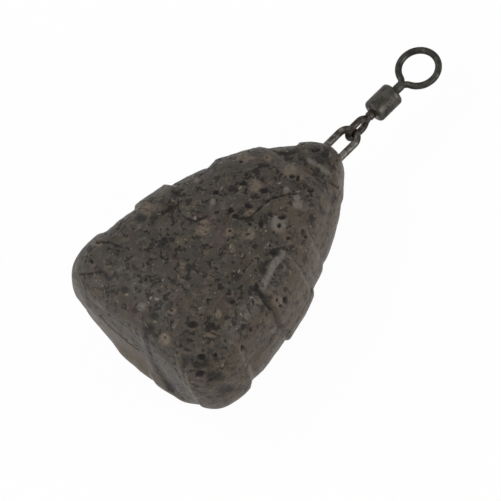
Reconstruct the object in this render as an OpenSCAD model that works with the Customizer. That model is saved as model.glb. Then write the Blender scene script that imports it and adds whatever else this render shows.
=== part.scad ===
// A stone-shaped fishing sinker. A cast lead sits under a moulded coat, a wire
// loop is cast into its nose, and a rolling swivel is linked through the loop.
// The lead lies on its flat back: nose along +Y, face up along +Z, origin on the
// ground under the middle of the whole sinker.

/* [Lead] */
// Length of the lead along its axis, from base to nose
lead_length = 36; // [32:0.5:42]
// Width of the lead before its slabs, near the base
lead_width = 27.4; // [24:0.1:32]
// Thickness of the lead before its slabs
lead_thickness = 19.1; // [17:0.1:22]
// How far the nose leans to the left
nose_lean = 0.2; // [0:0.1:1]
// Rise of the boldest stone slab above the rounded form
slab_rise = 0.6; // [0.3:0.05:0.9]
// Width of the sloping edge round each slab
slab_edge = 0.75; // [0.6:0.05:1.4]

/* [Coat] */
// Thickness of the moulded coat over the lead
coat_thickness = 0.4; // [0.3:0.05:0.6]

/* [Cast-in loop] */
// Wire of the loop in the nose
loop_wire_d = 0.96; // [0.7:0.02:1]
// Width of the loop over its wire
loop_width = 3.56; // [3.4:0.02:4.2]
// How far the loop stands out of the nose
loop_reach = 4.1; // [3.6:0.05:5]
// How far the loop lies above the lead's axis
loop_rise = 0.3; // [0:0.05:0.8]
// How deep the loop's legs go into the lead
leg_depth = 9; // [6:0.5:12]
// Bend radius of the feet that lock the legs in the casting
foot_bend_r = 1.2; // [0.8:0.1:1.6]
// Straight length of each foot
foot_length = 1.6; // [1:0.1:2]
// Gap that the casting leaves round the wire
cast_gap = 0.02; // [0.01:0.01:0.05]

/* [Swivel] */
// Wire of both swivel eyes
swivel_wire_d = 0.88; // [0.7:0.01:0.94]
// Bend radius of the small eye, to the middle of its wire
small_eye_r = 1.03; // [1:0.01:1.3]
// Straight sides of the small eye
small_eye_side = 0.95; // [0.5:0.05:1.6]
// Bend radius where the small eye's ends close into its neck
small_pinch_r = 1.2; // [0.9:0.1:1.6]
// Bend radius of the large ring, to the middle of its wire
large_ring_r = 2.55; // [2.2:0.05:3.2]
// Bend radius where the large ring's ends close into its neck
large_pinch_r = 1; // [0.6:0.1:1.4]
// Half the distance between the two wires of a neck
neck_half_gap = 0.12; // [0.1:0.01:0.2]
// Bare neck between the small eye and the barrel
small_neck = 0.5; // [0.3:0.05:1]
// Bare neck between the large ring and the barrel
large_neck = 0.95; // [0.6:0.05:1.6]
// Diameter of the shanks that turn in the barrel
shank_d = 1.18; // [1.14:0.02:1.3]
// Diameter of the heads that hold the shanks in the barrel
head_d = 1.9; // [1.6:0.05:2]
// Length of each head
head_length = 0.8; // [0.5:0.05:1]
// Diameter of the barrel
barrel_d = 3.14; // [2.9:0.02:3.4]
// Length of the barrel
barrel_length = 3.95; // [3.4:0.05:4.6]
// Wall of the barrel
barrel_wall = 0.32; // [0.25:0.01:0.4]
// Radius of the barrel's rolled ends
rolled_r = 0.55; // [0.4:0.05:0.8]
// Radial gap between a shank and its hole in the barrel
shank_gap = 0.04; // [0.02:0.01:0.08]
// Play between a head and the rolled end that it bears on
head_play = 0.06; // [0.04:0.01:0.12]
// Play where the small eye hangs in the loop
link_play = 0.05; // [0.03:0.01:0.1]

/* [Hidden] */

// Form of the lead: exponents of its outlines, and the shares that its nose and base keep
base_squareness = 5.52;
nose_roundness = 2.14;
section_squareness = 3.12;
nose_width_share = 0.372;
nose_thickness_share = 0.609;
base_thickness_share = 0.941;
width_taper = 1.65;
thickness_taper = 1.59;
base_taper = 4;

// Rings and sides of the coat's outside, and of the face between coat and casting
coat_rings = 43;
coat_sides = 84;
core_rings = 29;
core_sides = 56;

// Stone slabs: share of the boldest rise, lowest and highest share of the half
// thickness, and an outline as shares of half the width and of the length
slab_shares = [
    [0.38, -1.3, 1.3, [[-1.2, 1.1], [0.02, 0.872], [0.34, 0.87], [1.2, 0.97], [1.2, 1.3], [-1.2, 1.3]]],
    [0.75, -1.3, 0.3, [[0.15, 0.88], [1.6, 0.86], [1.6, 1.1], [0.05, 1.02]]],
    [0.90, -0.4, 1.3, [[-0.9, 0.722], [-0.1, 0.53], [0.05, 0.56], [0.1, 0.66], [0.05, 0.79],
        [-0.25, 0.82], [-0.9, 0.825]]],
    [0.80, -0.4, 1.3, [[-1.6, 0.66], [-0.58, 0.67], [-0.55, 0.74], [-0.58, 0.845], [-1.6, 0.86]]],
    [0.70, 0.1, 1.3, [[0, 0.52], [0.2, 0.575], [0.36, 0.68], [0.42, 0.76], [0.34, 0.835], [0, 0.82]]],
    [0.40, 0.1, 1.3, [[-0.05, 0.42], [0.33, 0.445], [0.57, 0.5], [0.54, 0.62], [0.42, 0.7], [0.1, 0.62],
        [-0.1, 0.52]]],
    [1.00, -0.4, 1.3, [[-1.6, 0.35], [-0.72, 0.36], [-0.52, 0.38], [-0.5, 0.42], [-0.64, 0.49],
        [-1.6, 0.55]]],
    [0.20, -0.4, 1.3, [[-1.6, 0.26], [-0.62, 0.27], [-0.62, 0.37], [-1.6, 0.37]]],
    [0.35, 0.1, 1.3, [[-0.48, 0.5], [-0.34, 0.43], [-0.2, 0.41], [-0.12, 0.45], [-0.12, 0.56],
        [-0.48, 0.62]]],
    [0.95, -0.05, 1.3, [[-1.6, -0.3], [-0.55, -0.3], [-0.45, 0.05], [-0.5, 0.15], [-0.66, 0.195],
        [-1.6, 0.24]]],
    [0.95, -0.25, 1.3, [[0.68, 0.385], [0.73, 0.355], [0.9, 0.37], [1.6, 0.6], [1.6, 0.72],
        [0.72, 0.68], [0.62, 0.52]]],
    [1.00, -1.3, -0.2, [[0.6, 0.395], [1.6, 0.43], [1.6, 0.6], [0.6, 0.575]]],
    [0.35, -1.3, 1.3, [[0.62, 0.54], [1.6, 0.56], [1.6, 0.7], [0.6, 0.67]]],
    [0.25, -1.3, 0, [[0.6, 0.22], [1.6, 0.22], [1.6, 0.42], [0.6, 0.41]]],
    [0.55, -1.3, 0.1, [[0.26, 0.72], [1.6, 0.7], [1.6, 0.93], [0.2, 0.9]]],
    [0.35, -1.3, 1.3, [[0.12, -0.3], [1.6, -0.3], [1.6, 0.205], [0.8, 0.2], [0.3, 0.09], [0.14, 0]]],
    [0.80, -1.3, 1.3, [[0.7, -0.3], [1.6, -0.3], [1.6, 0.195], [0.84, 0.195], [0.68, 0.13]]],
    [0.75, -1.3, -0.35, [[-0.36, -0.3], [0.45, -0.3], [0.45, 0.06], [-0.34, 0.06]]],
    [0.80, -1.3, -0.3, [[-0.5, 0.08], [0.45, 0.1], [0.62, 0.3], [0.3, 0.5], [-0.4, 0.44],
        [-0.62, 0.26]]],
    [0.70, -1.3, -0.3, [[-0.3, 0.52], [0.3, 0.56], [0.24, 0.8], [-0.16, 0.82]]],
];

// The lead rests on its back at these two shares of its length, which sets its tilt
rest_shares = [0.12, 0.7];
rest_run = lead_length * (rest_shares[1] - rest_shares[0]);
lie_tilt = atan((half_thickness(rest_shares[0]) - half_thickness(rest_shares[1])) / rest_run);
// Share of the slab rise that the flat back keeps
back_rise_share = 0.55;
// The casting shows the slabs softly, always lower than its coat is thick
core_rise = 0.6 * coat_thickness;
axis_height = lead_length * rest_shares[0] * sin(lie_tilt)
    + half_thickness(rest_shares[0]) * cos(lie_tilt)
    + slab_rise * back_rise_share;

// Places along the axis, measured from the lead's base
crown_y = lead_length + loop_reach - loop_wire_d / 2;
crown_r = (loop_width - loop_wire_d) / 2;
small_eye_y = crown_y - (loop_wire_d + swivel_wire_d) / 2 - link_play + small_eye_r;
barrel_y = small_eye_y + small_eye_side + pinch_run(small_eye_r, small_pinch_r) + small_neck;
large_ring_y = barrel_y + barrel_length + large_neck + pinch_run(large_ring_r, large_pinch_r);
tip_y = large_ring_y + large_ring_r + swivel_wire_d / 2;
// The upper edge of the base leans forward and the lower one back, so the overall
// length runs from the lower edge of the base to the tip of the large ring
base_back = half_thickness(0) * sin(lie_tilt);
tip_reach = tip_y * cos(lie_tilt) + loop_rise * sin(lie_tilt);
base_y = -(tip_reach - base_back) / 2;

end_wall = barrel_wall;
shank_hole_d = shank_d + 2 * shank_gap;
// The shank starts inside the neck's two wires, to swallow their ends
shank_lap = 0.15 * swivel_wire_d;
// The pinched ends are drawn a hair thinner, and start inside the eye's bend
pinched_d = 0.975 * swivel_wire_d;
seam_turn = 2;

curve_steps = 64;
$fn = curve_steps;

// Sizes of the rounded form at a share of its length
function half_width(t) = lead_width / 2 * (1 - (1 - nose_width_share) * pow(t, width_taper));
function half_thickness(t) =
    lead_thickness / 2
    * (1 - (1 - nose_thickness_share) * pow(t, thickness_taper))
    * (1 - (1 - base_thickness_share) * pow(1 - t, base_taper));

// Radius of a unit superellipse towards an angle
function unit_r(angle, power) = pow(pow(abs(cos(angle)), power) + pow(abs(sin(angle)), power), -1 / power);

// Point of the rounded form: one angle runs from base to nose, the other round the axis
function form_point(along, around) =
    let (
        power = along < 90 ? base_squareness : nose_roundness,
        r = unit_r(along, power),
        t = (1 - r * cos(along)) / 2,
        ring = r * sin(along) * unit_r(around, section_squareness)
    )
    [
        ring * half_width(t) * cos(around) - nose_lean * t * t,
        lead_length * t,
        ring * half_thickness(t) * sin(around)
    ];

// Smooth step from 0 to 1 across an edge, from the distance inside it
function edge_step(inside) =
    let (s = max(0, min(1, inside / slab_edge + 0.5)))
    s * s * (3 - 2 * s);

function to_size(share) = [share[0] * lead_width / 2, share[1] * lead_length];

// Distance inside one side of an outline that runs counter-clockwise
function side_distance(p, a, b) =
    ((b[0] - a[0]) * (p[1] - a[1]) - (b[1] - a[1]) * (p[0] - a[0])) / norm(b - a);

function outline_distance(p, outline) =
    min([for (k = [0 : len(outline) - 1])
        side_distance(p, to_size(outline[k]), to_size(outline[(k + 1) % len(outline)]))]);

// Share of the full rise that one slab has at a point
function slab_share(p, slab) =
    let (
        low = p[2] - slab[1] * lead_thickness / 2,
        high = slab[2] * lead_thickness / 2 - p[2]
    )
    slab[0] * edge_step(min(low, high, outline_distance(p, slab[3])));

// Where slabs lie over each other the higher one shows
function relief_share(p) = max([for (slab = slab_shares) slab_share(p, slab)]);

function unit(v) = v / norm(v);

// Outward direction at a point of the form, from its neighbours along and around it
function outward(along, around, along_step, around_step) =
    unit(cross(
        form_point(along + along_step, around) - form_point(along - along_step, around),
        form_point(along, around + around_step) - form_point(along, around - around_step)
    ));

// A point of the lead's own frame in the sinker's frame, levelled at the flat back
function laid(p, floor_z) =
    [
        p[0],
        base_y + p[1] * cos(lie_tilt) + p[2] * sin(lie_tilt),
        max(floor_z, axis_height - p[1] * sin(lie_tilt) + p[2] * cos(lie_tilt))
    ];

function skin_point(along, around, depth, rise, steps) =
    let (
        p = form_point(along, around),
        n = outward(along, around, steps[0], steps[1])
    )
    laid(p + n * (rise * relief_share(p) - depth), depth);

function pole_point(t, depth, rise) =
    let (
        p = [-nose_lean * t * t, lead_length * t, 0],
        out = rise * relief_share(p) - depth
    )
    laid(p + [0, t > 0 ? out : -out, 0], depth);

// Closed skin of the lead at a depth under its outside
module lead_skin(rings, sides, depth, rise) {
    along_step = 180 / (rings + 1);
    around_step = 360 / sides;
    points = [
        for (i = [1 : rings])
            for (j = [0 : sides - 1])
                skin_point(i * along_step, j * around_step, depth, rise, [along_step / 2, around_step / 2]),
        pole_point(0, depth, rise),
        pole_point(1, depth, rise)
    ];
    base_pole = rings * sides;
    nose_pole = base_pole + 1;
    faces = [
        for (i = [0 : rings - 2])
            for (j = [0 : sides - 1])
                let (
                    a = i * sides + j,
                    b = i * sides + (j + 1) % sides
                )
                each [[a, b + sides, a + sides], [a, b, b + sides]],
        for (j = [0 : sides - 1])
            [base_pole, (j + 1) % sides, j],
        for (j = [0 : sides - 1])
            [nose_pole, (rings - 1) * sides + j, (rings - 1) * sides + (j + 1) % sides]
    ];
    polyhedron(points, faces);
}

// Puts a piece drawn along the loop's axis in its place
module on_axis() {
    translate([-nose_lean, base_y, axis_height])
        rotate([-lie_tilt, 0, 0])
            translate([0, 0, loop_rise])
                children();
}

// Straight wire along Y
module wire(from_y, to_y, d) {
    translate([0, from_y, 0])
        rotate([-90, 0, 0])
            cylinder(d = d, h = to_y - from_y);
}

// Bent wire in the XY plane
module bend(r, from_angle, turn, d) {
    rotate([0, 0, from_angle])
        rotate_extrude(angle = turn)
            translate([r, 0])
                circle(d = d);
}

// The loop's wire with its buried legs and turned-out feet, grown by a gap for its seat
module loop_wire(gap) {
    d = loop_wire_d + 2 * gap;
    leg_y = lead_length - leg_depth;
    translate([0, crown_y - crown_r, 0])
        bend(crown_r, 0, 180, d);
    for (side = [0, 1])
        mirror([side, 0, 0]) {
            translate([crown_r, 0, 0])
                wire(leg_y, crown_y - crown_r, d);
            translate([crown_r + foot_bend_r, leg_y, 0])
                bend(foot_bend_r, 180, 90, d);
            translate([crown_r + foot_bend_r, leg_y - foot_bend_r, 0])
                rotate([0, 90, 0])
                    cylinder(d = d, h = foot_length + gap);
        }
}

// Angle from the neck at which an eye turns back towards it, and how far along it closes
function pinch_angle(eye_r, pinch_r) = asin((neck_half_gap + pinch_r) / (eye_r + pinch_r));
function pinch_run(eye_r, pinch_r) = (eye_r + pinch_r) * cos(pinch_angle(eye_r, pinch_r));

// A wire eye about the origin whose two ends close into a shank along +Y, with its head
module wire_eye(eye_r, side_length, pinch_r, neck) {
    turn = 90 - pinch_angle(eye_r, pinch_r);
    neck_y = side_length + pinch_run(eye_r, pinch_r);
    head_y = neck_y + neck + end_wall + head_play;
    bend(eye_r, 180, 180, swivel_wire_d);
    for (side = [0, 1])
        mirror([side, 0, 0]) {
            if (side_length > 0)
                translate([eye_r, 0, 0])
                    wire(0, side_length, swivel_wire_d);
            translate([0, side_length, 0])
                bend(eye_r, 0, turn, swivel_wire_d);
            translate([neck_half_gap + pinch_r, neck_y, 0])
                bend(pinch_r, 180, turn + seam_turn, pinched_d);
        }
    wire(neck_y - shank_lap, head_y, shank_d);
    wire(head_y, head_y + head_length, head_d);
}

// Outline of a round-ended barrel, turned about the axis
module barrel_form(r, length, end_r) {
    rotate_extrude() {
        square([r - end_r, length]);
        translate([0, end_r])
            square([r, length - 2 * end_r]);
        for (y = [end_r, length - end_r])
            translate([r - end_r, y])
                circle(r = end_r);
    }
}

module lead_core() {
    color("dimgray")
        difference() {
            lead_skin(core_rings, core_sides, coat_thickness, core_rise);
            on_axis() loop_wire(cast_gap);
        }
}

module moulded_coat() {
    color("#4b4640")
        difference() {
            lead_skin(coat_rings, coat_sides, 0, slab_rise);
            lead_skin(core_rings, core_sides, coat_thickness, core_rise);
            on_axis() loop_wire(cast_gap);
        }
}

module cast_in_loop() {
    color("#5a564f")
        on_axis() loop_wire(0);
}

module small_eye() {
    color("#5a5249")
        on_axis()
            translate([0, small_eye_y, 0])
                rotate([0, 90, 0])
                    wire_eye(small_eye_r, small_eye_side, small_pinch_r, small_neck);
}

module swivel_barrel() {
    color("#4d4a45")
        on_axis()
            translate([0, barrel_y, 0])
                rotate([-90, 0, 0])
                    difference() {
                        barrel_form(barrel_d / 2, barrel_length, rolled_r);
                        translate([0, 0, end_wall])
                            cylinder(r = barrel_d / 2 - barrel_wall, h = barrel_length - 2 * end_wall);
                        translate([0, 0, -end_wall])
                            cylinder(d = shank_hole_d, h = barrel_length + 2 * end_wall);
                    }
}

module large_ring() {
    color("#4f453d")
        on_axis()
            translate([0, large_ring_y, 0])
                rotate([0, 0, 180])
                    wire_eye(large_ring_r, 0, large_pinch_r, large_neck);
}

lead_core();
moulded_coat();
cast_in_loop();
small_eye();
swivel_barrel();
large_ring();
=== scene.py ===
import itertools
import math

import bpy
import numpy as np
from mathutils import Matrix, Vector


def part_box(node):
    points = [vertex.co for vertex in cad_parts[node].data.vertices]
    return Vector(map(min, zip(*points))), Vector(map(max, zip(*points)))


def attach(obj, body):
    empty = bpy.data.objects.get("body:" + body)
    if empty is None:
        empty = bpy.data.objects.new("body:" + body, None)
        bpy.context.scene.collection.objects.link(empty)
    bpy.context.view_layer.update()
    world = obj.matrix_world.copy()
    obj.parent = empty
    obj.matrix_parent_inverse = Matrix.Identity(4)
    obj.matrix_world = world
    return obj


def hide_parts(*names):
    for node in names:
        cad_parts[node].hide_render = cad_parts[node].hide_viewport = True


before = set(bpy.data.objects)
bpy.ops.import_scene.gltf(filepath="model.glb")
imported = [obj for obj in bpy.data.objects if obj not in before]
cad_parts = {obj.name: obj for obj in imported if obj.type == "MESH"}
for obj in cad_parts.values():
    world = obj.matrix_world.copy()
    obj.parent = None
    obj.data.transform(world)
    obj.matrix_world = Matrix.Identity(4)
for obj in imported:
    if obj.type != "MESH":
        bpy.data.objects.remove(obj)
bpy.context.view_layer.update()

mm = 0.001
print("frame loaded:", ", ".join(sorted(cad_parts)))


# The photograph's camera: a long lens, so parallel rays do, turned and rolled over the sinker
view = {
    "imageSize": 501,
    "metresPerPixel": 0.1245 * mm,
    "azimuth": 69.83,
    "elevation": 60.31,
    "roll": -28.93,
    "coatCentrePixel": (231.96, 249.93),
    "distance": 0.6,
    "clip": (0.01, 10),
}


def viewAxes():
    turn, lift, roll = (math.radians(view[key]) for key in ("azimuth", "elevation", "roll"))
    back = Vector((math.sin(turn) * math.cos(lift), -math.cos(turn) * math.cos(lift), math.sin(lift)))
    level = Vector((math.cos(turn), math.sin(turn), 0))
    rise = back.cross(level)
    right = level * math.cos(roll) + rise * math.sin(roll)
    return right, back.cross(right), back


viewRight, viewUp, viewBack = viewAxes()
coatLow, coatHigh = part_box("moulded_coat")
coatCentre = (Vector(coatLow) + Vector(coatHigh)) / 2


def toPixels(points):
    # photograph pixels of points, and the centre of the coat's box is the anchor
    away = points - np.array(coatCentre)
    step = view["metresPerPixel"]
    x = view["coatCentrePixel"][0] + away @ np.array(viewRight) / step
    y = view["coatCentrePixel"][1] - away @ np.array(viewUp) / step
    return x, y


def makeCamera():
    data = bpy.data.cameras.new("photoCamera")
    data.type = "ORTHO"
    data.ortho_scale = view["imageSize"] * view["metresPerPixel"]
    data.clip_start, data.clip_end = view["clip"]
    camera = bpy.data.objects.new("photoCamera", data)
    bpy.context.scene.collection.objects.link(camera)
    middle = view["imageSize"] / 2
    aside = (middle - view["coatCentrePixel"][0]) * view["metresPerPixel"]
    above = (view["coatCentrePixel"][1] - middle) * view["metresPerPixel"]
    place = coatCentre + viewRight * aside + viewUp * above + viewBack * view["distance"]
    facing = Matrix((viewRight, viewUp, viewBack)).transposed().to_4x4()
    camera.matrix_world = Matrix.Translation(place) @ facing
    bpy.context.scene.camera = camera


makeCamera()
print("camera set")


# Shader arithmetic: a Wire is one output socket, and sums of wires add Math nodes
class Wire:
    def __init__(self, shader, socket):
        self.shader, self.socket = shader, socket

    def maths(self, operation, first, second):
        return self.shader.node("ShaderNodeMath", {"operation": operation}, {0: first, 1: second})

    def __add__(self, other):
        return self.maths("ADD", self, other)

    def __radd__(self, other):
        return self.maths("ADD", other, self)

    def __sub__(self, other):
        return self.maths("SUBTRACT", self, other)

    def __rsub__(self, other):
        return self.maths("SUBTRACT", other, self)

    def __mul__(self, other):
        return self.maths("MULTIPLY", self, other)

    def __rmul__(self, other):
        return self.maths("MULTIPLY", other, self)

    def larger(self, other):
        return self.maths("MAXIMUM", self, other)

    # 0 below low, 1 above high, and smooth between; low may be the larger of the two
    def between(self, low, high):
        return self.shader.node(
            "ShaderNodeMapRange", {"interpolation_type": "SMOOTHSTEP"},
            {"Value": self, "From Min": low, "From Max": high})


# The nodes of one material, or of the world
class Shader:
    def __init__(self, owner):
        owner.use_nodes = True
        self.tree = owner.node_tree
        self.tree.nodes.clear()

    def node(self, kind, settings=None, inputs=None, output=0):
        made = self.tree.nodes.new(kind)
        for key, value in (settings or {}).items():
            setattr(made, key, value)
        for key, value in (inputs or {}).items():
            socket = made.inputs[key]
            if isinstance(value, Wire):
                self.tree.links.new(value.socket, socket)
            elif socket.type == "RGBA":
                socket.default_value = (*value, 1.0)
            else:
                socket.default_value = value
        return None if output is None else Wire(self, made.outputs[output])

    def mix(self, amount, first, second):
        return self.node("ShaderNodeMix", {"data_type": "RGBA"}, {0: amount, 6: first, 7: second}, output=2)

    def placeInMillimetres(self):
        place = self.node("ShaderNodeTexCoord", output="Object")
        return self.node("ShaderNodeMapping", {}, {"Vector": place, "Scale": (1 / mm, 1 / mm, 1 / mm)})

    def moved(self, place, by):
        return self.node("ShaderNodeVectorMath", {"operation": "ADD"}, {0: place, 1: by})

    # places pulled about by noise, so that cells get crooked edges
    def crooked(self, place, scale, reach):
        pull = self.node("ShaderNodeTexNoise", {}, {"Vector": place, "Scale": scale, "Detail": 2.0}, "Color")
        pull = self.node("ShaderNodeVectorMath", {"operation": "SCALE"}, {0: pull, "Scale": reach})
        return self.moved(place, pull)

    def cloud(self, place, scale, detail=3.0, rough=0.5):
        return self.node(
            "ShaderNodeTexNoise", {},
            {"Vector": place, "Scale": scale, "Detail": detail, "Roughness": rough})

    # grains: how far inside its own random radius a point lies, for the share of cells that is kept
    def grains(self, place, scale, share, small, large):
        cells = {"Vector": place, "Scale": scale, "Randomness": 1.0}
        apart = self.node("ShaderNodeTexVoronoi", {}, cells, "Distance")
        tint = self.node("ShaderNodeTexVoronoi", {}, cells, "Color")
        split = self.node("ShaderNodeSeparateColor", {}, {"Color": tint}, "Red")
        size = self.node("ShaderNodeSeparateColor", {}, {"Color": tint}, "Green")
        kept = split.maths("LESS_THAN", split, share)
        ragged = self.cloud(place, scale * 3) * 0.5 - 0.25
        soft = 0.06
        return kept * (size * (large - small) + small - apart + ragged).between(-soft, soft)

    # chips: a random number for each cell
    def chips(self, place, scale):
        tint = self.node("ShaderNodeTexVoronoi", {}, {"Vector": place, "Scale": scale}, "Color")
        return self.node("ShaderNodeSeparateColor", {}, {"Color": tint}, "Blue")

    def surface(self, inputs):
        finish = self.node("ShaderNodeBsdfPrincipled", {}, inputs)
        self.node("ShaderNodeOutputMaterial", {}, {"Surface": finish}, None)


# The stone: form of the lead in millimetres, as in the solids, and the grid that draws it
stone = {
    "length": 36.0,
    "width": 27.4,
    "thickness": 19.1,
    "noseLean": 0.2,
    "baseSquareness": 5.52,
    "noseRoundness": 2.14,
    "sectionSquareness": 3.12,
    "noseWidthShare": 0.372,
    "noseThicknessShare": 0.609,
    "baseThicknessShare": 0.941,
    "widthTaper": 1.65,
    "thicknessTaper": 1.59,
    "baseTaper": 4,
    "restShares": (0.12, 0.7),
    "backRiseShare": 0.55,
    "slabRise": 0.6,
    "rings": 440,
    "sides": 640,
    "fineSteps": 4001,
}

# Slabs: share of the boldest rise, lowest and highest share of the half thickness, width of the
# sloping edge in millimetres, and an outline as shares of half the width and of the length
slabs = [
    (0.38, -1.3, 1.3, 0.9, [(-1.2, 1.1), (0.02, 0.872), (0.34, 0.87), (1.2, 0.97), (1.2, 1.3),
                            (-1.2, 1.3)]),
    (0.75, -1.3, 0.3, 2.4, [(0.15, 0.88), (1.6, 0.86), (1.6, 1.1), (0.05, 1.02)]),
    (0.90, -0.4, 1.3, 1.7, [(-0.9, 0.722), (-0.1, 0.53), (0.05, 0.56), (0.1, 0.66), (0.05, 0.79),
                            (-0.25, 0.82), (-0.9, 0.825)]),
    (0.80, -0.4, 1.3, 0.7, [(-1.6, 0.66), (-0.58, 0.67), (-0.55, 0.74), (-0.58, 0.845), (-1.6, 0.86)]),
    (0.70, 0.1, 1.3, 1.8, [(0, 0.52), (0.2, 0.575), (0.36, 0.68), (0.42, 0.76), (0.34, 0.835),
                           (0, 0.82)]),
    (0.40, 0.1, 1.3, 2.0, [(-0.05, 0.42), (0.33, 0.445), (0.57, 0.5), (0.54, 0.62), (0.42, 0.7),
                           (0.1, 0.62), (-0.1, 0.52)]),
    (1.00, -0.4, 1.3, 1.1, [(-1.6, 0.35), (-0.72, 0.36), (-0.52, 0.38), (-0.5, 0.42), (-0.64, 0.49),
                            (-1.6, 0.55)]),
    (0.20, -0.4, 1.3, 1.1, [(-1.6, 0.26), (-0.62, 0.27), (-0.62, 0.37), (-1.6, 0.37)]),
    (0.35, 0.1, 1.3, 2.0, [(-0.48, 0.5), (-0.34, 0.43), (-0.2, 0.41), (-0.12, 0.45), (-0.12, 0.56),
                           (-0.48, 0.62)]),
    (0.95, -0.05, 1.3, 2.4, [(-1.6, 0.02), (-0.6, 0.02), (-0.45, 0.06), (-0.5, 0.15), (-0.66, 0.195),
                             (-1.6, 0.24)]),
    (0.95, -0.25, 1.3, 1.9, [(0.69, 0.4), (0.74, 0.384), (0.9, 0.39), (1.6, 0.6), (1.6, 0.66),
                             (0.63, 0.55), (0.65, 0.485)]),
    (0.95, -0.25, 1.3, 4.0, [(0.82, 0.46), (1.6, 0.5), (1.6, 0.74), (0.78, 0.7), (0.72, 0.6)]),
    (1.00, -1.3, -0.2, 1.2, [(0.6, 0.395), (1.6, 0.43), (1.6, 0.6), (0.6, 0.575)]),
    (0.35, -1.3, 1.3, 1.8, [(0.62, 0.54), (1.6, 0.56), (1.6, 0.7), (0.6, 0.67)]),
    (0.25, -1.3, 0, 2.0, [(0.6, 0.22), (1.6, 0.22), (1.6, 0.42), (0.6, 0.41)]),
    (0.55, -1.3, 0.1, 4.0, [(0.26, 0.72), (1.6, 0.7), (1.6, 0.93), (0.2, 0.9)]),
    (0.35, -1.3, 1.3, 2.4, [(0.12, -0.3), (1.6, -0.3), (1.6, 0.205), (0.8, 0.2), (0.3, 0.09),
                            (0.14, 0)]),
    (0.80, -1.3, 1.3, 2.0, [(0.7, -0.3), (1.6, -0.3), (1.6, 0.195), (0.84, 0.195), (0.68, 0.13)]),
    (0.80, -1.3, -0.3, 0.7, [(-0.5, 0.08), (0.45, 0.1), (0.62, 0.3), (0.3, 0.5), (-0.4, 0.44),
                             (-0.62, 0.26)]),
    (0.70, -1.3, -0.3, 0.7, [(-0.3, 0.52), (0.3, 0.56), (0.24, 0.8), (-0.16, 0.82)]),
]

# Where the rounded form is worn down or built up a little: place as shares of half the width, of the
# length and of half the thickness, then reach and rise in millimetres
wear = [
    (-0.8, 0.02, -0.25, 2.4, 0.12), (-0.56, 0.0, 0.2, 2.6, 0.36), (-0.43, 0.0, -0.46, 1.4, -0.12),
    (-0.85, 0.06, 0.4, 2.0, 0.1), (-0.8, 0.03, 0.12, 1.6, 0.14), (-0.24, 0.0, -0.6, 2.6, 0.54),
    (0.02, 0.0, -0.6, 2.6, 0.56), (0.3, 0.0, -0.6, 2.6, 0.47), (0.5, 0.01, -0.58, 1.4, 0.3),
    (0.68, 0.03, -0.57, 1.2, -0.16), (0.88, 0.22, -0.55, 1.6, -0.2), (0.68, 0.6, -0.47, 1.6, -0.24),
    (0.51, 0.745, -0.37, 1.5, -0.15), (0.2, 0.94, -0.17, 1.5, -0.1), (-0.37, 0.84, 0.39, 1.2, 0.1),
    (-0.26, 0.9, 0.33, 1.4, -0.16), (-0.6, 0.65, 0.52, 1.0, -0.15), (-0.81, 0.35, 0.57, 1.0, -0.12),
    (-0.885, 0.19, 0.56, 1.5, -0.15), (-0.5, 0.03, 0.6, 1.5, 0.16), (-0.2, 0.0, 0.02, 2.2, 0.18),
]

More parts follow.
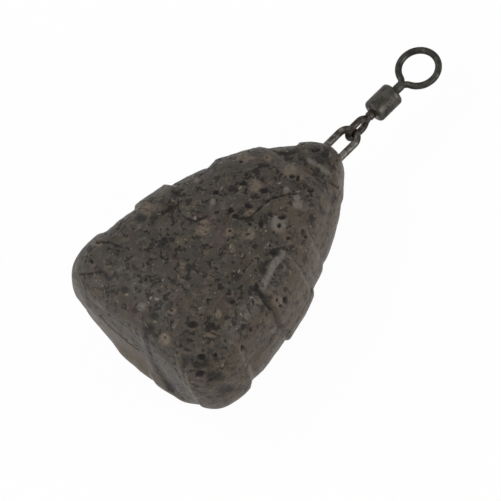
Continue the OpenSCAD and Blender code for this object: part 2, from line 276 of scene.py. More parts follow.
# Marks that the photograph shows, in its pixels, painted shade and highlights among them: spots as centre
# and half sizes, lines as a width and corners, and the facet as an outline
marks = {
    "tanSpots": [
        (243.6, 158, 7.5, 5.5), (255.6, 185.6, 7, 7), (148, 209, 7.5, 6), (202.4, 231, 6.5, 5.5),
        (249, 234.4, 7, 4.5), (251, 212.4, 6, 3), (290, 171, 6, 7), (278, 301.6, 5.5, 5.5),
        (196, 180, 3, 3), (205, 222, 5, 3), (230, 232, 4.5, 4), (218, 314, 3, 4.5), (212, 334, 7, 3),
        (98, 244, 4.5, 3), (172, 311, 4.5, 3), (304, 233, 5, 6), (268, 158, 4, 3), (165, 339, 5, 6),
    ],
    # the spots at about (298, 204) and (297, 197) paint the highlight at the top of the right ridge
    "paleSpots": [
        (279, 224, 8, 8), (298, 204, 5, 4), (297, 197, 3, 5), (141, 307, 4, 4),
        (286, 190, 3, 3), (213, 202, 2.5, 3.5), (262, 263, 2.5, 4.5), (274, 331, 3, 2.5),
        (265, 204, 3, 2),
    ],
    "pits": [
        (282, 217, 4.4, 2.3), (279.4, 225.2, 2.2, 2.2), (216, 192, 2.8, 2.6), (241, 161, 2, 1.6),
        (235, 215, 3.4, 1.8), (231, 210, 3.4, 2), (249, 205.6, 3.2, 2.4), (264, 190, 5, 2.6),
        (243, 183, 4.4, 2), (311, 190, 3.4, 2.2), (247, 174, 2, 1.4),
        (91, 261, 2.4, 2.4), (257, 287, 3.4, 3), (262, 297, 2, 2), (288, 238, 1.6, 1.6),
        (261, 224, 2.2, 4), (250, 224, 2, 1.8), (233, 302, 3, 2), (243, 327, 2, 3),
        (251, 330, 1.8, 1.8), (285, 300, 1.6, 2.4), (242, 348, 1.6, 2.6), (216, 356, 2, 2),
        (193, 324.4, 5, 3.4), (316, 150, 4.4, 1.8), (326, 154, 4, 3.4),
        (202, 357, 4.4, 2.6), (200, 374, 4.4, 3), (248, 234, 3, 1.1), (230, 231, 1.4, 1.2),
        (146, 231, 2.2, 1.2), (171, 310, 1.6, 1.2), (292, 176, 3, 2), (298, 178, 2, 3),
        (277, 300, 1.4, 2), (281, 306, 1.6, 1.2), (98, 243, 1.6, 1.2), (303, 231, 1.6, 1.6),
        (306, 237, 1.4, 1.8), (286, 153, 6, 1.6), (273, 252, 3, 2.4), (177, 193, 3, 2),
    ],
    # the stains at about (255, 290) paint the shadow at the foot of the right flank's ledge
    "stainsAndShade": [
        (165, 201, 5.5, 4.5), (141, 218, 5, 4), (154, 218, 4.5, 3.5), (101, 272, 5, 2.6),
        (125, 290, 4.5, 3.4), (149, 328, 6.5, 5), (154, 316, 4.4, 3.6), (236, 275, 5, 4.4),
        (275, 253, 5, 3.4), (195, 361, 13, 6), (214, 376, 9, 5), (226, 389, 8, 4.5), (322, 158, 9, 6),
        (254, 291, 6, 5), (231, 301, 4, 3), (312, 217, 3, 4), (218, 160, 4, 2.4), (312, 205, 3, 2),
        (191, 267, 4, 3), (270, 215, 2.4, 4), (332, 200, 3, 5), (305, 260, 2.4, 4), (292, 248, 2.8, 3.6),
        (277, 284, 3, 3), (304, 274, 2, 2.4), (285, 300, 2.4, 4), (263, 268, 5, 8), (323, 213, 2.4, 3),
        (303, 233, 3, 4), (172, 387, 5, 6), (313, 150, 5, 3), (293, 152, 5, 2.4), (255, 290, 5, 3.4),
    ],
    "cracks": [
        (2.0, [(233, 216), (240, 218), (250, 216), (257, 211), (263, 204), (272, 198), (284, 194),
               (296, 193), (307, 196)]),
        (1.4, [(178, 200), (179, 210), (185, 217), (194, 220.5), (202, 219.5), (208, 215)]),
        (1.8, [(97, 242), (110, 242), (120, 246), (129, 248)]),
        (1.8, [(80, 274.5), (90, 273.5), (101, 272.5)]),
        (2.8, [(256, 286), (260, 294), (265, 302), (271, 309)]),
        (1.6, [(272, 250), (280, 248), (288, 250)]),
        (1.6, [(268, 148), (282, 154), (294, 153)]),
        (1.6, [(311, 168), (318, 175), (328, 181), (338, 188)]),
        (1.8, [(172, 192), (178, 196), (185, 194)]),
        (1.4, [(198, 330), (209, 331), (219, 336)]),
        (0.4, [(99, 315), (112, 329), (127, 341), (139, 351)]),
        (1.4, [(190, 372), (198, 370), (205, 373)]),
        (1.6, [(207, 382), (214, 378), (221, 372)]),
    ],
    # grooves, darkened as painted shade
    "valleys": [
        (4.6, [(146, 334), (149, 349), (152, 360), (159, 371), (166, 381), (173, 391)]),
        (3.0, [(256, 286), (260, 293), (267, 301)]),
    ],
    "ridges": [
        (6.0, [(178, 344), (181, 364), (187, 380), (195, 396)]),
        (5.0, [(309, 161), (318, 166), (328, 174)]),
        (2.2, [(204, 307), (216, 308)]),
    ],
    "shade": [  # painted shade on bevels and creases: strength as a share of the full stain-and-shade tint, width, corners
        (0.38, 18, [(157, 348), (166, 369), (178, 387)]),
        (0.28, 9, [(329, 155), (335, 166)]),
        (0.28, 11, [(87, 301), (102, 314), (116, 327), (132, 341)]),
        (0.5, 12, [(113, 312), (128, 330), (141, 345), (154, 358)]),
        (0.28, 8, [(172, 187), (190, 183)]),
        (0.2, 16, [(275, 325), (263, 341), (250, 357)]),
    ],
    # where the painted shade at a slab's foot is left off
    "unshadedFoot": [(276, 322, 13, 19)],
    "smoothSpots": [(293, 221, 18, 24), (304, 176, 12, 9)],
    "facet": [(96, 308), (139, 350), (155, 370), (170, 394), (150, 430), (60, 400), (60, 300)],
    # the first two paint highlights: the sheen along the right ridge's bevel and along the nose ridge
    "paleAndHighlightLines": [
        (7.0, [(283, 253), (276, 261), (269, 273), (262, 287)]),
        (4.0, [(309, 161), (318, 166), (327, 173)]),
        (2.0, [(249, 229), (256, 229), (262, 226)]),
    ],
}

# How softly the marks end: spots as a share of their half sizes, lines and the facet in pixels
softness = {
    "tanSpots": 0.35,
    "paleSpots": 0.4,
    "pits": 0.28,
    "stainsAndShade": 0.5,
    "cracks": 0.9,
    "valleys": 3.0,
    "ridges": 2.6,
    "shade": 4.0,
    "unshadedFoot": 0.5,
    "smoothSpots": 0.6,
    "facet": 5.0,
    "paleAndHighlightLines": 1.5,
}


def smooth(x):
    x = np.clip(x, 0, 1)
    return x * x * (3 - 2 * x)


# Gradient noise at points, about -1 to 1, with lumps as wide as size
def lumps(points, size, seed):
    count = 256  # slopes, and cells before the pattern repeats
    draw = np.random.default_rng(seed)
    slopes = draw.normal(size=(count, 3))
    slopes /= np.linalg.norm(slopes, axis=1, keepdims=True)
    order = draw.permutation(count)
    scaled = points / size
    cell = np.floor(scaled).astype(int)
    part = scaled - cell
    fade = part ** 3 * (part * (part * 6 - 15) + 10)
    total = np.zeros(points.shape[:-1])
    for corner in itertools.product((0, 1), repeat=3):
        at = cell + np.array(corner)
        pick = order[(order[(order[at[..., 0] % count] + at[..., 1]) % count] + at[..., 2]) % count]
        weight = np.prod(np.where(np.array(corner) == 1, fade, 1 - fade), axis=-1)
        total += weight * ((part - np.array(corner)) * slopes[pick]).sum(-1)
    return total * 1.6  # brings it up to about 1


def layered(points, layers):
    # a sum of lumps: each layer's width in millimetres, strength and seed
    return sum(strength * lumps(points, size, seed) for size, strength, seed in layers)


def unitRadius(angle, power):
    return (np.abs(np.cos(angle)) ** power + np.abs(np.sin(angle)) ** power) ** (-1 / power)


def halfWidth(t):
    return stone["width"] / 2 * (1 - (1 - stone["noseWidthShare"]) * t ** stone["widthTaper"])


def halfThickness(t):
    nose = 1 - (1 - stone["noseThicknessShare"]) * t ** stone["thicknessTaper"]
    base = 1 - (1 - stone["baseThicknessShare"]) * (1 - t) ** stone["baseTaper"]
    return stone["thickness"] / 2 * nose * base


def evenSteps(x, y, values, count):
    # values at even steps along a curve
    run = np.concatenate([[0], np.cumsum(np.hypot(np.diff(x), np.diff(y)))])
    return np.interp((np.arange(count) + 0.5) / count * run[-1], run, values)


def profile(along):
    power = np.where(along < math.pi / 2, stone["baseSquareness"], stone["noseRoundness"])
    r = unitRadius(along, power)
    return r * np.sin(along), (1 - r * np.cos(along)) / 2


def roundedForm():
    fine = np.linspace(0, math.pi, stone["fineSteps"])
    out, t = profile(fine)
    along = evenSteps(out * halfWidth(t), t * stone["length"], fine, stone["rings"])
    fine = np.linspace(0, 2 * math.pi, 2 * stone["fineSteps"] - 1)
    r = unitRadius(fine, stone["sectionSquareness"])
    across, deep = r * np.cos(fine) * stone["width"], r * np.sin(fine) * stone["thickness"]
    around = evenSteps(across, deep, fine, stone["sides"])
    out, t = (value[:, None] for value in profile(along))
    r = out * unitRadius(around, stone["sectionSquareness"])[None, :]
    points = np.stack([
        r * halfWidth(t) * np.cos(around) - stone["noseLean"] * t * t,
        np.broadcast_to(t * stone["length"], r.shape),
        r * halfThickness(t) * np.sin(around),
    ], axis=-1)
    lengthwise = np.gradient(points, axis=0)
    sideways = np.roll(points, -1, axis=1) - np.roll(points, 1, axis=1)
    outward = np.cross(lengthwise, sideways)
    return points, outward / np.linalg.norm(outward, axis=-1, keepdims=True)


def insideOutline(x, y, corners):
    # how far inside an outline without inward corners, less than 0 outside it
    corners = np.array(corners, float)
    inside = np.full(x.shape, 1e9)
    for a, b in zip(corners, np.roll(corners, -1, axis=0)):
        along = (b - a) / np.linalg.norm(b - a)
        inside = np.minimum(inside, along[0] * (y - a[1]) - along[1] * (x - a[0]))
    return inside


def insideSlab(points, slab):
    _, low, high, _, outline = slab
    corners = np.array(outline) * (stone["width"] / 2, stone["length"])
    half = stone["thickness"] / 2
    inside = insideOutline(points[..., 0], points[..., 1], corners)
    return np.minimum.reduce([inside, points[..., 2] - low * half, high * half - points[..., 2]])


# the back's slabs touch the ground at two places along the lead, which gives its tilt and height
restFrom, restTo = stone["restShares"]
lieTilt = math.atan2(halfThickness(restFrom) - halfThickness(restTo), stone["length"] * (restTo - restFrom))
axisHeight = (stone["length"] * restFrom * math.sin(lieTilt) + halfThickness(restFrom) * math.cos(lieTilt)
              + stone["slabRise"] * stone["backRiseShare"])


def turned(vectors):
    x, y, z = np.moveaxis(vectors, -1, 0)
    tilt, lift = math.cos(lieTilt), math.sin(lieTilt)
    return np.stack([x, y * tilt + z * lift, z * tilt - y * lift], axis=-1)


def spotMask(x, y, kind):
    mask, soft = np.zeros(x.shape), softness[kind]
    for cx, cy, rx, ry in marks[kind]:
        apart = np.hypot((x - cx) / rx, (y - cy) / ry)
        mask = np.maximum(mask, smooth((1 + soft - apart) / (2 * soft)))
    return mask


def lineMask(x, y, kind):
    # a line of shade gives its strength before its width
    mask, soft = np.zeros(x.shape), softness[kind]
    for *strength, width, corners in marks[kind]:
        apart = np.full(x.shape, 1e9)
        for (ax, ay), (bx, by) in zip(corners, corners[1:]):
            run = (bx - ax) ** 2 + (by - ay) ** 2
            t = np.clip(((x - ax) * (bx - ax) + (y - ay) * (by - ay)) / run, 0, 1)
            apart = np.minimum(apart, np.hypot(x - ax - t * (bx - ax), y - ay - t * (by - ay)))
        line = smooth((width / 2 + soft - apart) / (2 * soft))
        mask = np.maximum(mask, math.prod(strength) * line)
    return mask


# Spots scattered evenly over the surface: count, smallest and largest radius in millimetres, and seed
scatter = {
    "pits": (90, 0.16, 0.4, 41),
    "stainsAndShade": (34, 0.4, 0.85, 42),
    "tanSpots": (46, 0.4, 0.9, 43),
    "tanDots": (60, 0.12, 0.24, 44),
    "pores": (420, 0.08, 0.24, 45),
}


# Each spot is measured to its centre, and fades between two shares of its radius
def scattered(points, ragged, kind):
    count, small, large, seed = scatter[kind]
    inner, outer = 0.7, 1.2
    reach = outer + 0.1
    mask = np.zeros(points.shape[:2])
    alongStep = np.linalg.norm(np.gradient(points, axis=0), axis=-1)
    aroundStep = np.linalg.norm(np.roll(points, -1, axis=1) - points, axis=-1)
    area = (alongStep * aroundStep).ravel()
    draw = np.random.default_rng(seed)
    picks = draw.choice(area.size, count, p=area / area.sum())
    for pick, size in zip(picks, draw.uniform(small, large, count)):
        i, j = divmod(int(pick), stone["sides"])
        rowReach = int(reach * size / alongStep[i, j]) + 1
        sideReach = min(int(reach * size / aroundStep[i, j]) + 1, stone["sides"] // 2 - 1)
        rows = np.arange(max(0, i - rowReach), min(stone["rings"], i + rowReach + 1))
        sides = np.arange(j - sideReach, j + sideReach + 1) % stone["sides"]
        window = np.ix_(rows, sides)
        apart = np.linalg.norm(points[window] - points[i, j], axis=-1) / size + ragged[window]
        mask[window] = np.maximum(mask[window], smooth((outer - apart) / (outer - inner)))
    return mask


def blurred(values, reach):
    total = values.copy()
    for step in range(1, reach + 1):
        total += np.roll(values, step, axis=1) + np.roll(values, -step, axis=1)
    values = total / (2 * reach + 1)
    padded = np.pad(values, ((reach, reach), (0, 0)), mode="edge")
    return sum(padded[step:step + len(values)] for step in range(2 * reach + 1)) / (2 * reach + 1)


# What is worked into the coat: widths, depths and rises in millimetres, and layers of lumps as width,
# strength and seed
relief = {
    "edgeWander": 0.3,
    "wanderLayers": (((3.4, 1.0, 11), (1.3, 0.4, 14)), ((3.4, 1.0, 12), (1.3, 0.4, 15)),
                     ((3.4, 1.0, 13), (1.3, 0.4, 16))),
    "crispLayers": ((5.0, 0.45, 17),),
    "sideFrom": 0.74,  # how far the surface looks up where the flanks begin
    "sideBlend": 0.4,
    "baseFrom": 0.3,
    "baseBlend": 0.3,
    "seenFrom": 0.02,
    "seenBlend": 0.15,
    "swells": ((7.0, 0.1, 21), (3.0, 0.06, 22)),
    "grit": ((1.9, 0.07, 24), (1.1, 0.05, 25), (0.5, 0.035, 26)),
    "footDepth": 0.12,
    "footWidth": 0.16,
    "footGap": 0.05,
    "footSlabEdge": 1.9,  # a slab whose sloping edge is wider than this has no groove at its foot
    "markWander": (((0.9, 0.8, 31), (0.4, 0.6, 46)), ((0.9, 0.8, 32), (0.4, 0.6, 47))),  # in pixels
    "raggedSpots": ((0.42, 0.45, 37), (0.9, 0.25, 38)),
    "seamPath": ((2.7, 1.0, 35), (0.8, 0.3, 36)),
    "seamWidth": 0.12,
    "smoothSpots": 0.95,  # how much they are finished as the flanks are
    "ridgeRise": 0.16,
    "depths": {"pits": 0.22, "cracks": 0.2, "valleys": 0.15, "seams": 0.1, "stainsAndShade": 0.05, "pores": 0.1},
    "deepest": 0.26,
    "deepestPlain": 0.12,  # between the slabs the coat is thinner over the casting
    "edgeReach": 5,  # in steps of the grid
    "edgeHeight": 0.12,
}

# Where hollows come and go: a share of cover, then layers of lumps
breaks = {
    "foot": (0.5, (2.2, 1.0, 23)),
    "cracks": (0.9, (1.6, 1.0, 33)),
    "seamPatches": (0.35, (4.2, 1.6, 34)),
    "seams": (0.45, (1.2, 1.0, 39)),
}

# How much of a thing is lost on the flanks, the base, the facet, or where the painted shade at a slab's foot
# is left off
calm = {
    "slabEdgeOnSide": 0.45,
    "footOnSide": 0.8,
    "footShadeLeftOff": 0.9,
    "sideInFacet": 0.55,
    "baseInFacet": 0.7,
    "poresOnSide": 0.6,
    "seamsOnSide": 0.8,
    "gritOnBase": 0.7,
    "gritOnSide": 0.5,
}

# How dark each kind of hollow is painted; in the valleys and in the grooves at the slabs' feet this is
# painted shade
darkness = {
    "pits": 1.0,
    "cracks": 1.0,
    "valleys": 0.8,
    "seams": 0.35,
    "pores": 0.7,
    "foot": 0.6,
    "tanDots": 1.0,
}


def broken(points, kind):
    cover, *layers = breaks[kind]
    return smooth(layered(points, layers) + cover)


# The rounded form with its slabs, swells and worn places, in millimetres before it is laid on its back
def raisedForm(points, side):
    wander = np.stack([layered(points, layers) for layers in relief["wanderLayers"]], axis=-1)
    strayed = points + relief["edgeWander"] * wander
    crispness = 1 + layered(points, relief["crispLayers"])
    height, foot = np.zeros(side.shape), np.zeros(side.shape)
    for slab in slabs:
        inside = insideSlab(strayed, slab)
        edge = slab[3] * crispness * (1 - calm["slabEdgeOnSide"] * side)
        height = np.maximum(height, stone["slabRise"] * slab[0] * smooth(inside / edge + 0.5))
        groove = np.exp(-((inside + edge / 2 + relief["footGap"]) / relief["footWidth"]) ** 2)
        foot = np.maximum(foot, groove * smooth(relief["footSlabEdge"] - edge))
    height += layered(points, relief["swells"])
    half = np.array([stone["width"] / 2, stone["length"], stone["thickness"] / 2])
    for *share, reach, rise in wear:
        height += rise * np.exp(-(((points - half * share) / reach) ** 2).sum(-1))
    foot *= broken(points, "foot") * (1 - calm["footOnSide"] * side)
    return height - relief["footDepth"] * foot, foot


# Lays the raised form on its back and fits it to the box of the coat's solid, in metres
def laidInBox(points, outward, height):
    laidOut = turned(points + outward * height[..., None]) + (0, 0, axisHeight)
    laidOut[..., 2] = np.maximum(laidOut[..., 2], 0)
    low, high = laidOut.reshape(-1, 3).min(0), laidOut.reshape(-1, 3).max(0)
    fit = (np.array(coatHigh) - np.array(coatLow)) / (high - low)
    return (laidOut - low) * fit + np.array(coatLow)


def makeStone():
    points, outward = roundedForm()
    side = smooth((relief["sideFrom"] - outward[..., 2]) / relief["sideBlend"])
    base = smooth((-outward[..., 1] - relief["baseFrom"]) / relief["baseBlend"])
    raised, foot = raisedForm(points, side)
    place, away = laidInBox(points, outward, raised), turned(outward)

    # the photographed marks lie on what the camera sees
    x, y = (at + layered(points, layers) for at, layers in zip(toPixels(place), relief["markWander"]))
    seen = smooth((away @ np.array(viewBack) - relief["seenFrom"]) / relief["seenBlend"])
    unseen = 1 - seen
    pits = spotMask(x, y, "pits") * seen
    cracks = lineMask(x, y, "cracks") * seen * broken(points, "cracks")
    valleys = lineMask(x, y, "valleys") * seen
    ridges = lineMask(x, y, "ridges") * seen
    # the stain mask also carries painted shade: the shade lines darken bevels and creases toward the stain
    # tint
    stainsAndShade = np.maximum(spotMask(x, y, "stainsAndShade"), lineMask(x, y, "shade")) * seen
    facet = base * seen * smooth(0.5 - insideOutline(x, y, marks["facet"]) / softness["facet"])
    side, base = side * (1 - calm["sideInFacet"] * facet), base * (1 - calm["baseInFacet"] * facet)
    side = np.maximum(side, relief["smoothSpots"] * spotMask(x, y, "smoothSpots") * seen)
    tan = spotMask(x, y, "tanSpots") * seen
    # pale spots, and painted highlights along the ridges
    paleAndHighlight = np.maximum(spotMask(x, y, "paleSpots"), lineMask(x, y, "paleAndHighlightLines")) * seen

    # scattered ones are everywhere else, and pores and seams all over
    ragged = layered(points, relief["raggedSpots"])
    pits = np.maximum(pits, scattered(points, ragged, "pits") * unseen)
    stainsAndShade = np.maximum(stainsAndShade, scattered(points, ragged, "stainsAndShade") * unseen)
    tan = np.maximum(tan, scattered(points, ragged, "tanSpots") * unseen)
    tanDots = scattered(points, ragged, "tanDots") * unseen
    pores = scattered(points, ragged, "pores") * (1 - calm["poresOnSide"] * side)
    seams = smooth(1 - np.abs(layered(points, relief["seamPath"])) / relief["seamWidth"])
    seams *= broken(points, "seamPatches") * broken(points, "seams") * (1 - calm["seamsOnSide"] * side)

    # the slabs' foot grooves are darkened as painted shade, less where it is left off
    hollows = {"pits": pits, "cracks": cracks, "valleys": valleys, "seams": seams, "stainsAndShade": stainsAndShade,
               "pores": pores, "foot": foot * (1 - calm["footShadeLeftOff"] * spotMask(x, y, "unshadedFoot") * seen),
               "tanDots": tanDots}
    height = relief["ridgeRise"] * ridges - sum(
        depth * hollows[kind] for kind, depth in relief["depths"].items())
    height = np.maximum.reduce([height, np.full(side.shape, -relief["deepest"]),
                                -relief["deepestPlain"] - raised])
    calmed = (1 - calm["gritOnBase"] * base) * (1 - calm["gritOnSide"] * side)
    height += layered(points, relief["grit"]) * calmed
    place = place + away * height[..., None] * mm
    place[..., 2] = np.maximum(place[..., 2], 0)

    # edges stand out of the blurred form, and hollows lie in it
    shape = (place - np.array(coatLow)) / mm
    broad = np.stack([blurred(shape[..., axis], relief["edgeReach"]) for axis in range(3)], axis=-1)
    edge = ((shape - broad) * away).sum(-1)
    # dark spots and lines, with painted shade in the valleys and at the slabs' feet
    dark = np.maximum.reduce([share * hollows[kind] for kind, share in darkness.items()])
    masks = {
        "tan": tan,
        "paleAndHighlight": paleAndHighlight,
        "stainAndShade": stainsAndShade,
        "side": side,
        "base": base,
        "edge": np.clip(edge / relief["edgeHeight"], -1, 1) * 0.5 + 0.5,
        "dark": np.clip(dark, 0, 1),
    }
    return gridMesh("coatStone", place, masks)


def gridMesh(name, place, masks):
    rings, sides = place.shape[:2]
    corners = np.concatenate([place.reshape(-1, 3), [place[0].mean(0)], [place[-1].mean(0)]])
    index = np.arange(rings * sides).reshape(rings, sides)
    beside = np.roll(index, -1, axis=1)
    quads = np.stack([index[:-1], index[1:], beside[1:], beside[:-1]], axis=-1).reshape(-1, 4)
    basePole, nosePole = rings * sides, rings * sides + 1
    base = np.stack([np.full(sides, basePole), index[0], beside[0]], axis=-1)
    nose = np.stack([np.full(sides, nosePole), beside[-1], index[-1]], axis=-1)
    loops = np.concatenate([quads.ravel(), base.ravel(), nose.ravel()])
    sizes = np.concatenate([np.full(len(quads), 4), np.full(2 * sides, 3)])
    mesh = bpy.data.meshes.new(name)
    mesh.vertices.add(len(corners))
    mesh.vertices.foreach_set("co", corners.ravel())
    mesh.loops.add(len(loops))
    mesh.loops.foreach_set("vertex_index", loops)
    mesh.polygons.add(len(sizes))
    mesh.polygons.foreach_set("loop_start", np.concatenate([[0], np.cumsum(sizes)[:-1]]))
    mesh.update(calc_edges=True)
    mesh.shade_smooth()
    for key, mask in masks.items():
        layer = mesh.attributes.new(key, "FLOAT", "POINT")
        layer.data.foreach_set("value", np.append(mask.ravel(), [mask[0].mean(), mask[-1].mean()]))
    made = bpy.data.objects.new(name, mesh)
    bpy.context.scene.collection.objects.link(made)
    return made


def screenTint(red, green, blue):
    # a colour as the screen shows it, 0 to 255, for the shader
    return tuple((c / 255 / 12.92) if c / 255 <= 0.04045 else ((c / 255 + 0.055) / 1.055) ** 2.4
                 for c in (red, green, blue))


# The coat's colours, painted highlights and shade among them: tints as the screen shows them, and the layers
# that mix them
stoneFinish = {
    "tints": {
        "plain": (61, 56, 49),
        "warm": (64, 57, 49),
        "cool": (57, 54, 49),
        "violet": (64, 54, 52),
        "green": (54, 54, 47),
        "tan": (100, 89, 77),
        # pale spots, and also the painted highlights
        "paleAndHighlight": (110, 105, 98),
        # stains, and also the painted shade of the shade lines
        "stainAndShade": (26, 23, 20),
        # dark marks, and also painted shade in hollows, in the valleys and at the slabs' feet
        "dark": (16, 12, 9),
        "speck": (24, 19, 15),
        "blotch": (40, 35, 30),
        "side": (78, 67, 55),
        "paleChip": (88, 80, 69),
        "darkChip": (25, 21, 18),
        "lightSpeck": (138, 128, 115),
        # painted highlight on raised edges
        "edgeHighlight": (84, 76, 67),
    },
    "crook": (1.3, 1.5),  # how fine and how strong the pull on the cells is
    "shift": (7.0, 3.0, 5.0),  # millimetres, so that two layers of cells don't fall together
    "chipScales": {"broad": 0.5, "coarse": 1.2, "small": 2.0},  # cells in a millimetre
    # chips: which cells, the span of their random numbers that fades in, strength and tint
    "tones": (
        ("broad", 0.3, 0.36, 1.0, "plain"),
        ("broad", 0.6, 0.66, 1.0, "warm"),
        ("broad", 0.84, 0.88, 1.0, "violet"),
        ("coarse", 0.86, 0.9, 0.8, "green"),
    ),
    "chips": (
        ("coarse", 0.7, 0.76, 0.2, "paleChip"),
        ("coarse", 0.13, 0.1, 0.9, "darkChip"),
        ("small", 0.8, 0.9, 0.5, "paleChip"),
        ("small", 0.15, 0.1, 0.9, "darkChip"),
    ),
    # grains: cells in a millimetre, share of them kept, smallest and largest radius in cells
    "grains": {
        "tan": (0.6, 0.2, 0.12, 0.3),
        "stainAndShade": (0.5, 0.16, 0.14, 0.32),
        "light": (1.6, 0.22, 0.1, 0.3),
        "fine": (1.8, 0.3, 0.12, 0.36),
        "round": (0.9, 0.2, 0.12, 0.32),
    },
    # clouds: waves in a millimetre, then the span of their values that fades in
    "plainCloud": (0.5, 0.4, 0.6),
    "blotchCloud": (1.1, 0.58, 0.68),
    "mottleCloud": (2.6, 0.3, 0.6),
    # strength of each layer of the colour
    "strengths": {
        "plainCloud": 0.5,
        "side": 0.7,
        "blotch": 0.35,
        "tanGrains": 0.5,
        "mottleSpread": 0.5,
        "mottleLeast": 0.45,
        "paleAndHighlight": 0.8,
        "stainGrains": 0.6,
        "stainAndShade": 0.85,
        "lightSpeck": 0.6,
        "fineSpeck": 0.75,
        "roundSpeck": 0.9,
        "edgeHighlight": 0.5,
        "hollowShade": 0.5,
        "dark": 0.95,
    },
    "calmSide": 0.4,  # how much of the chips and grains is lost on the flanks and on the base
    "calmBase": 0.7,
    "calmBaseSpeck": 0.8,
    "roughness": 0.45,
    "roughnessCloud": (1.8, 0.25),  # waves in a millimetre, and strength
    "gloss": 0.16,
    "bump": 0.4,
    "bumpHeight": 0.1,  # millimetres
    "skinClouds": ((5.0, 0.5), (2.0, 0.7)),
    "skinChips": 0.2,
    "skinGrains": {"round": 0.4, "fine": 0.3},
}


def stoneMaterial():
    look = {key: screenTint(*tint) for key, tint in stoneFinish["tints"].items()}
    grain, strength = stoneFinish["grains"], stoneFinish["strengths"]
    material = bpy.data.materials.new("stoneCoat")
    s = Shader(material)
    place = s.placeInMillimetres()
    mask = {key: s.node("ShaderNodeAttribute", {"attribute_name": key}, output="Fac")
            for key in ("tan", "paleAndHighlight", "stainAndShade", "edge", "dark", "side", "base")}
    even = 1 - mask["base"] * stoneFinish["calmBase"]
    face = (1 - mask["side"] * stoneFinish["calmSide"]) * even
    crooked = s.crooked(place, *stoneFinish["crook"])
    shifted = s.moved(crooked, stoneFinish["shift"])
    cells = {key: s.chips(crooked if key == "broad" else shifted, scale)
             for key, scale in stoneFinish["chipScales"].items()}

    def clouded(at, key):
        scale, low, high = stoneFinish[key]
        return s.cloud(at, scale).between(low, high)

    # flat patches of slightly different stone, then chips of it
    colour = look["cool"]
    for kind, low, high, share, tint in stoneFinish["tones"]:
        colour = s.mix(cells[kind].between(low, high) * share, colour, look[tint])
    colour = s.mix(clouded(place, "plainCloud") * strength["plainCloud"], colour, look["plain"])
    colour = s.mix(mask["side"] * strength["side"], colour, look["side"])
    colour = s.mix(clouded(shifted, "blotchCloud") * face * strength["blotch"], colour, look["blotch"])
    for kind, low, high, share, tint in stoneFinish["chips"]:
        colour = s.mix(cells[kind].between(low, high) * face * share, colour, look[tint])

    # photographed spots and scattered grains, with painted shade and highlights among the spots
    mottle = clouded(place, "mottleCloud") * strength["mottleSpread"] + strength["mottleLeast"]
    colour = s.mix(s.grains(shifted, *grain["tan"]) * strength["tanGrains"], colour, look["tan"])
    colour = s.mix(mask["tan"] * mottle, colour, look["tan"])
    # pale spots, and painted highlights on the ridges' bevels, lightened toward the pale tint
    colour = s.mix(mask["paleAndHighlight"] * mottle * strength["paleAndHighlight"], colour, look["paleAndHighlight"])
    stainGrains, lightGrains = s.grains(crooked, *grain["stainAndShade"]), s.grains(crooked, *grain["light"])
    colour = s.mix(stainGrains * face * strength["stainGrains"], colour, look["stainAndShade"])
    # real stains, and painted shade along the shade lines, darkened toward the same tint
    colour = s.mix(mask["stainAndShade"] * strength["stainAndShade"], colour, look["stainAndShade"])
    colour = s.mix(lightGrains * face * strength["lightSpeck"], colour, look["lightSpeck"])
    fineGrains, roundGrains = s.grains(crooked, *grain["fine"]), s.grains(shifted, *grain["round"])
    speckled = fineGrains * (1 - mask["base"] * stoneFinish["calmBaseSpeck"])
    colour = s.mix(speckled * strength["fineSpeck"], colour, look["speck"])
    colour = s.mix(roundGrains * face * strength["roundSpeck"], colour, look["speck"])

    # painted highlight on raised edges and painted shade in hollows, both from the curvature of the form
    colour = s.mix(mask["edge"].between(0.62, 1.0) * strength["edgeHighlight"], colour, look["edgeHighlight"])
    hollowShade = mask["edge"].between(0.4, 0.0) * strength["hollowShade"]
    colour = s.mix(mask["dark"].larger(hollowShade) * strength["dark"], colour, look["dark"])

    # the skin is finely bumpy, less so on the base, and chips stand out as grains lie in
    (fineScale, fineRise), (broadScale, broadRise) = stoneFinish["skinClouds"]
    skin = (s.cloud(place, fineScale) * fineRise + s.cloud(place, broadScale) * broadRise) * even
    skin = skin + (cells["coarse"] + cells["small"]) * face * stoneFinish["skinChips"]
    sunk = stoneFinish["skinGrains"]
    skin = skin - (roundGrains * sunk["round"] + fineGrains * sunk["fine"]) * face
    bump = s.node("ShaderNodeBump", {}, {
        "Strength": stoneFinish["bump"], "Distance": stoneFinish["bumpHeight"] * mm, "Height": skin})
    scale, spread = stoneFinish["roughnessCloud"]
    rough = s.cloud(place, scale) * spread + (stoneFinish["roughness"] - spread / 2)
    s.surface({"Base Color": colour, "Roughness": rough, "Normal": bump,
               "Specular IOR Level": stoneFinish["gloss"]})
    return material


stoneCoat = makeStone()
stoneCoat.data.materials.append(stoneMaterial())
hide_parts("moulded_coat")
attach(stoneCoat, "lead")
print("stone made:", len(stoneCoat.data.polygons), "faces")


# Colours of the metals as the screen shows them, and how rough each is
metalFinish = {
    "loop": {"colour": (92, 89, 85), "tarnish": (52, 47, 42), "scratch": (146, 141, 134), "rough": 0.45},
    "eye": {"colour": (66, 61, 56), "tarnish": (42, 35, 31), "scratch": (130, 124, 116), "rough": 0.42},
    "barrel": {"colour": (70, 68, 63), "tarnish": (50, 47, 42), "scratch": (125, 121, 114), "rough": 0.38},
    "ring": {"colour": (61, 60, 56), "tarnish": (42, 40, 36), "scratch": (128, 125, 119), "rough": 0.42},
    "lead": {"colour": (110, 112, 116), "tarnish": (80, 82, 86), "scratch": (150, 150, 152), "rough": 0.6},
}

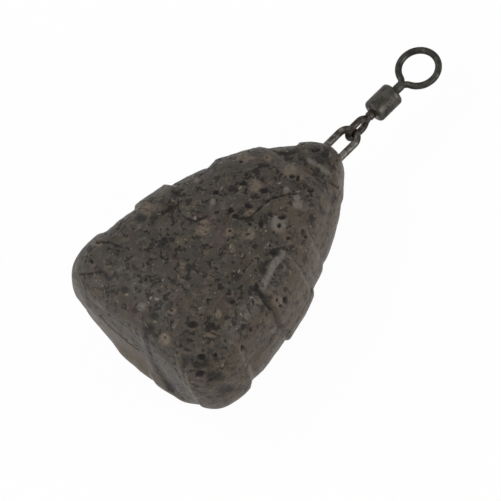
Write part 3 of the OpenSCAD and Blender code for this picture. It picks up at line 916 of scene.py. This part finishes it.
# What all the metals share: the patches of tarnish, the scratches and the bumps
metalSurface = {
    "patchScale": 1.2,
    "scratchScale": 9.0,
    "scratchStrength": 0.4,
    "metallic": 0.9,
    "patchRoughness": 0.15,
    "scratchRoughness": 0.2,
    "bump": 0.25,
    "bumpHeight": 0.03,  # millimetres
}


def metalMaterial(name):
    look, shared = metalFinish[name], metalSurface
    material = bpy.data.materials.new(name + "Metal")
    s = Shader(material)
    place = s.placeInMillimetres()
    patches = s.cloud(place, shared["patchScale"], 4, 0.6).between(0.4, 0.62)
    scratches = s.cloud(place, shared["scratchScale"], 3, 0.7)
    colour = s.mix(patches, screenTint(*look["colour"]), screenTint(*look["tarnish"]))
    bright = scratches.between(0.62, 0.75) * shared["scratchStrength"]
    colour = s.mix(bright, colour, screenTint(*look["scratch"]))
    scratched = scratches * shared["scratchRoughness"] + (look["rough"] - shared["scratchRoughness"] / 2)
    rough = patches * shared["patchRoughness"] + scratched
    bump = s.node("ShaderNodeBump", {}, {
        "Strength": shared["bump"], "Distance": shared["bumpHeight"] * mm, "Height": scratches + patches})
    s.surface({"Base Color": colour, "Metallic": shared["metallic"], "Roughness": rough, "Normal": bump})
    return material


def dress(node, material):
    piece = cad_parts[node]
    if len(piece.data.materials) == 0:
        piece.data.materials.append(material)
    for slot in piece.material_slots:
        slot.material = material


for node, name in (("cast_in_loop", "loop"), ("small_eye", "eye"), ("swivel_barrel", "barrel"),
                   ("large_ring", "ring"), ("lead_core", "lead")):
    dress(node, metalMaterial(name))
print("metal dressed")


# Studio: a white floor and a white surround that darkens overhead, where the camera is
studio = {
    "floorSize": 3.0,
    "floorGap": 0.00002,
    "floorTint": (0.82, 0.82, 0.82),
    "floorShown": 0.965,
    "sideStrength": 0.8,
    "overheadStrength": 0.3,
    "lamps": [
        {"name": "softLeft", "toward": (-0.45, -0.15, 0.85), "away": 0.5, "size": 0.25, "power": 0.9},
        {"name": "softRight", "toward": (0.85, 0.45, 0.3), "away": 0.5, "size": 0.3, "power": 1.12},
        {"name": "softBase", "toward": (-0.1, -0.95, 0.3), "away": 0.5, "size": 0.3, "power": 0.95},
    ],
}


def seenDirectly(shader):
    # 1 for the camera and for reflections, 0 for the light that falls on the sinker
    path = {key: shader.node("ShaderNodeLightPath", output=key)
            for key in ("Is Camera Ray", "Is Glossy Ray", "Is Transmission Ray")}
    return path["Is Camera Ray"].larger(path["Is Glossy Ray"]).larger(path["Is Transmission Ray"])


def makeFloor():
    mesh = bpy.data.meshes.new("floor")
    half, level = studio["floorSize"] / 2, -studio["floorGap"]
    corners = [(-half, -half, level), (half, -half, level), (half, half, level), (-half, half, level)]
    mesh.from_pydata(corners, [], [(0, 1, 2, 3)])
    floor = bpy.data.objects.new("floor", mesh)
    bpy.context.scene.collection.objects.link(floor)
    paper = bpy.data.materials.new("floorPaper")
    s = Shader(paper)
    surface = s.node("ShaderNodeBsdfDiffuse", {}, {"Color": studio["floorTint"]})
    white = s.node("ShaderNodeEmission", {}, {"Color": (1, 1, 1), "Strength": 1.0})
    amount = seenDirectly(s) * studio["floorShown"]
    both = s.node("ShaderNodeMixShader", {}, {0: amount, 1: surface, 2: white})
    s.node("ShaderNodeOutputMaterial", {}, {"Surface": both}, None)
    mesh.materials.append(paper)


def makeWorld():
    world = bpy.data.worlds.new("surround")
    bpy.context.scene.world = world
    s = Shader(world)
    direction = s.node("ShaderNodeTexCoord", output="Generated")
    height = s.node("ShaderNodeSeparateXYZ", {}, {"Vector": direction}, "Z")
    fall = studio["overheadStrength"] - studio["sideStrength"]
    strength = height.between(0.1, 0.9) * fall + studio["sideStrength"]
    light = s.node("ShaderNodeBackground", {}, {"Color": (1, 1, 1), "Strength": strength})
    white = s.node("ShaderNodeBackground", {}, {"Color": (1, 1, 1), "Strength": 1.0})
    both = s.node("ShaderNodeMixShader", {}, {0: seenDirectly(s), 1: light, 2: white})
    s.node("ShaderNodeOutputWorld", {}, {"Surface": both}, None)


def makeLamps():
    for lamp in studio["lamps"]:
        data = bpy.data.lights.new(lamp["name"], "AREA")
        data.shape, data.size, data.energy = "DISK", lamp["size"], lamp["power"]
        made = bpy.data.objects.new(lamp["name"], data)
        toward = Vector(lamp["toward"]).normalized()
        made.location = coatCentre + toward * lamp["away"]
        made.rotation_mode = "QUATERNION"
        made.rotation_quaternion = toward.to_track_quat("Z", "Y")
        bpy.context.scene.collection.objects.link(made)


makeFloor()
makeWorld()
makeLamps()
bpy.context.scene.view_settings.view_transform = "Standard"
print("studio lit")
